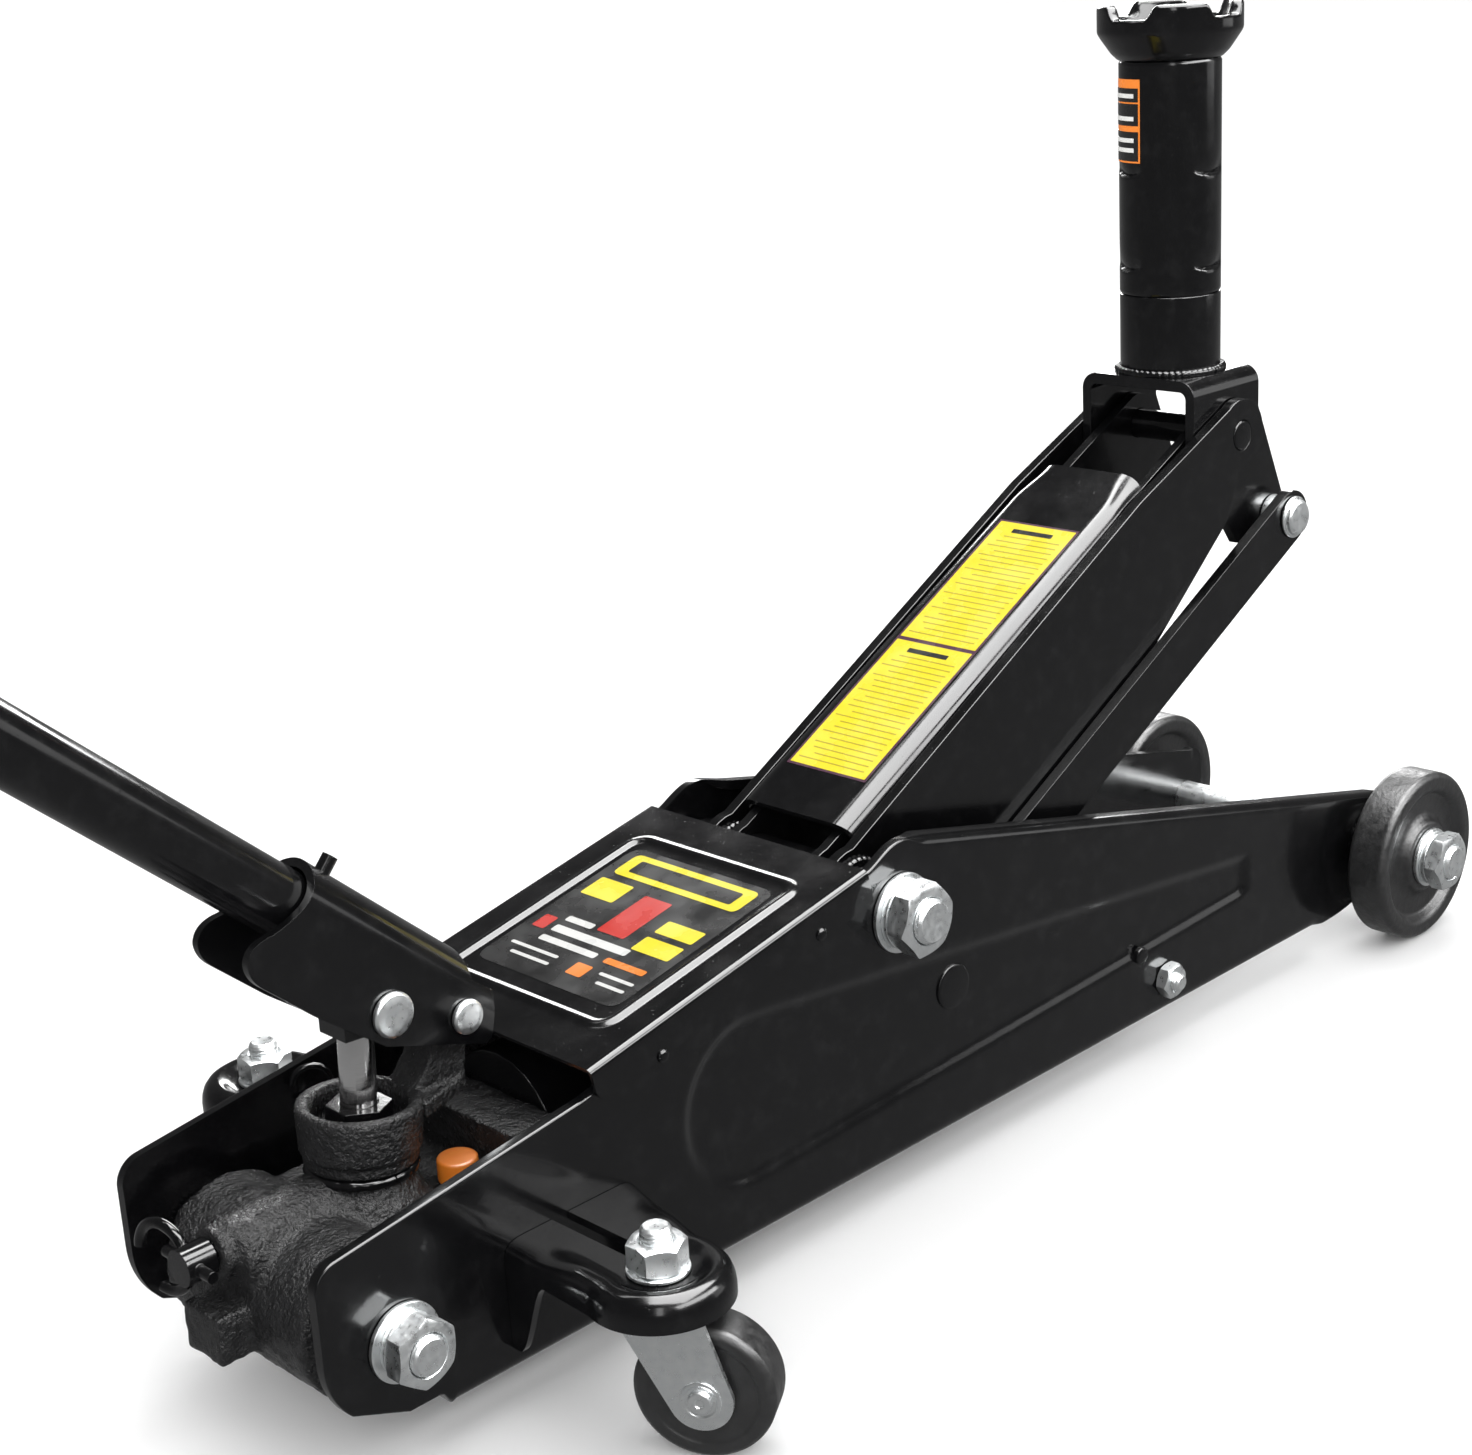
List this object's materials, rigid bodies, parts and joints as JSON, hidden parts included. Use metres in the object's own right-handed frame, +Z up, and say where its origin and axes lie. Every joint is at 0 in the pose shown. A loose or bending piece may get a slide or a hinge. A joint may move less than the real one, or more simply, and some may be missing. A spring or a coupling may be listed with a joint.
{
  "type": "hydraulic floor jack",
  "caption": "Low trolley jack with pressed side plates, lifting arm with parallel links, level saddle post with lift-out extension, rear casters and a swivelling pump handle",
  "frame": {"origin": "middle of the object's bounding box in X and Y, on the floor", "axes": "+X from the pump towards the front wheels, +Y to the far side, +Z up"},
  "size_m": [1.4996, 0.359, 0.8934],
  "materials": {
    "black_paint": "high-gloss black enamel with slight orange peel",
    "zinc_plate": "bright zinc plate, faintly mottled",
    "chrome_rod": "ground and hard-chromed",
    "cast_iron_black": "rough casting under black paint",
    "cast_wheel_black": "cast wheel, semi-gloss black paint",
    "nylon_black": "moulded nylon, slightly glossy",
    "orange_plug": "moulded orange plastic",
    "spring_steel": "oil-blacked spring wire",
    "grip_rubber": "moulded rubber grip"
  },
  "bodies": {
    "frame": {"side_plate_near": "black_paint", "side_plate_far": "black_paint", "cover_plate": "black_paint", "power_unit_casting": "cast_iron_black", "reservoir_tube": "black_paint", "ram_gland_nut": "black_paint", "spring_anchor_bar": "black_paint", "filler_plug": "orange_plug", "pump_gland_nut": "black_paint", "arm_shaft": "zinc_plate", "front_axle": "zinc_plate", "tie_rod": "zinc_plate", "shaft_nut_near": "zinc_plate", "shaft_nut_far": "zinc_plate", "rear_bolt_near": "zinc_plate", "rear_bolt_far": "zinc_plate", "axle_nut_near": "zinc_plate", "axle_nut_far": "zinc_plate", "caster_bracket_near": "black_paint", "caster_bracket_far": "black_paint", "return_spring_near": "spring_steel", "return_spring_far": "spring_steel", "link_stub_near": "black_paint", "link_stub_far": "black_paint"},
    "arm": {"arm_plate_near": "black_paint", "arm_plate_far": "black_paint", "arm_inner_plate_near": "black_paint", "arm_inner_plate_far": "black_paint", "arm_cover": "black_paint", "arm_hub_tube": "black_paint", "arm_head_pin": "black_paint", "arm_lever_pin": "zinc_plate"},
    "links": {"link_bar_near": "black_paint", "link_bar_far": "black_paint"},
    "bracket": {"saddle_bracket": "black_paint", "post_base": "black_paint", "link_top_pin_near": "zinc_plate", "link_top_pin_far": "zinc_plate"},
    "extension": {"extension_tube": "black_paint"},
    "saddle": {"saddle": "black_paint"},
    "ram": {"ram_rod": "chrome_rod", "ram_clevis": "cast_iron_black"},
    "front_wheel_near": {"front_wheel_near": "cast_wheel_black"},
    "front_wheel_far": {"front_wheel_far": "cast_wheel_black"},
    "caster_near": {"caster_fork_near": "zinc_plate", "caster_nut_near": "zinc_plate"},
    "caster_far": {"caster_fork_far": "zinc_plate", "caster_nut_far": "zinc_plate"},
    "caster_wheel_near": {"caster_wheel_near": "nylon_black"},
    "caster_wheel_far": {"caster_wheel_far": "nylon_black"},
    "pump_swivel": {"pump_cup": "cast_iron_black", "fulcrum_pin": "zinc_plate"},
    "pump_plunger": {"plunger": "chrome_rod"},
    "handle": {"handle_yoke": "black_paint", "yoke_pin": "zinc_plate"},
    "handle_tubes": {"handle_lower_tube": "black_paint", "handle_upper_tube": "black_paint", "handle_grip": "grip_rubber"},
    "valve": {"release_valve": "black_paint"}
  },
  "joints": [
    {"name": "lift_arm", "type": "hinge", "parent": "frame", "child": "arm", "pos_m": [0.28384, 0, 0.143], "axis": [0, -1, 0], "range_deg": [-38.8, 25.4]},
    {"name": "saddle_level", "type": "hinge", "parent": "arm", "child": "bracket", "pos_m": [0.59889, 0, 0.3077], "axis": [0, -1, 0], "range_deg": [-25.5, 38.9]},
    {"name": "link_swing", "type": "hinge", "parent": "frame", "child": "links", "pos_m": [0.32184, 0, 0.0915], "axis": [0, -1, 0], "range_deg": [-38.9, 25.5]},
    {"name": "ram_travel", "type": "slide", "parent": "frame", "child": "ram", "axis": [1, 0, 0], "range_m": [-0.0402, 0.0264]},
    {"name": "extension_lift", "type": "slide", "parent": "bracket", "child": "extension", "axis": [0, 0, 1], "range_m": [0, 0.04]},
    {"name": "saddle_turn", "type": "hinge", "parent": "extension", "child": "saddle", "pos_m": [0.59399, 0, 0.5033], "axis": [0, 0, 1], "continuous": true},
    {"name": "front_wheel_near_spin", "type": "hinge", "parent": "frame", "child": "front_wheel_near", "pos_m": [0.70084, -0.0913, 0.049], "axis": [0, 1, 0], "continuous": true},
    {"name": "front_wheel_far_spin", "type": "hinge", "parent": "frame", "child": "front_wheel_far", "pos_m": [0.70084, 0.0913, 0.049], "axis": [0, 1, 0], "continuous": true},
    {"name": "caster_near_swivel", "type": "hinge", "parent": "frame", "child": "caster_near", "pos_m": [0.06434, -0.135, 0.07], "axis": [0, 0, 1], "continuous": true},
    {"name": "caster_wheel_near_spin", "type": "hinge", "parent": "caster_near", "child": "caster_wheel_near", "pos_m": [0.07388, -0.15027, 0.0295], "axis": [0.848, 0.5299, 0], "continuous": true},
    {"name": "caster_far_swivel", "type": "hinge", "parent": "frame", "child": "caster_far", "pos_m": [0.06434, 0.135, 0.07], "axis": [0, 0, 1], "continuous": true},
    {"name": "caster_wheel_far_spin", "type": "hinge", "parent": "caster_far", "child": "caster_wheel_far", "pos_m": [0.07388, 0.15027, 0.0295], "axis": [-0.848, 0.5299, 0], "continuous": true},
    {"name": "pump_turn", "type": "hinge", "parent": "frame", "child": "pump_swivel", "pos_m": [0.02354, 0, 0.1264], "axis": [0.0698, 0, 0.9976], "range_deg": [-120, 120]},
    {"name": "handle_pump", "type": "hinge", "parent": "pump_swivel", "child": "handle", "pos_m": [0.06824, 0, 0.1535], "axis": [0, 1, 0], "range_deg": [-32, 25]},
    {"name": "plunger_stroke", "type": "slide", "parent": "pump_swivel", "child": "pump_plunger", "axis": [0.0698, 0, 0.9976], "range_m": [-0.0207, 0.0162]},
    {"name": "handle_pull", "type": "slide", "parent": "handle", "child": "handle_tubes", "axis": [-0.7455, 0, 0.6665], "range_m": [0, 0.06]},
    {"name": "release_turn", "type": "hinge", "parent": "frame", "child": "valve", "pos_m": [-0.05366, 0, 0.088], "axis": [1, 0, 0], "range_deg": [0, 180]}
  ],
  "couplings": [
    {"joint": "saddle_level", "follows": "lift_arm", "ratio": -1},
    {"joint": "link_swing", "follows": "lift_arm", "ratio": 1},
    {"joint": "ram_travel", "follows": "lift_arm", "m_per_rad": 0.0587},
    {"joint": "plunger_stroke", "follows": "handle_pump", "m_per_rad": 0.0368}
  ]
}
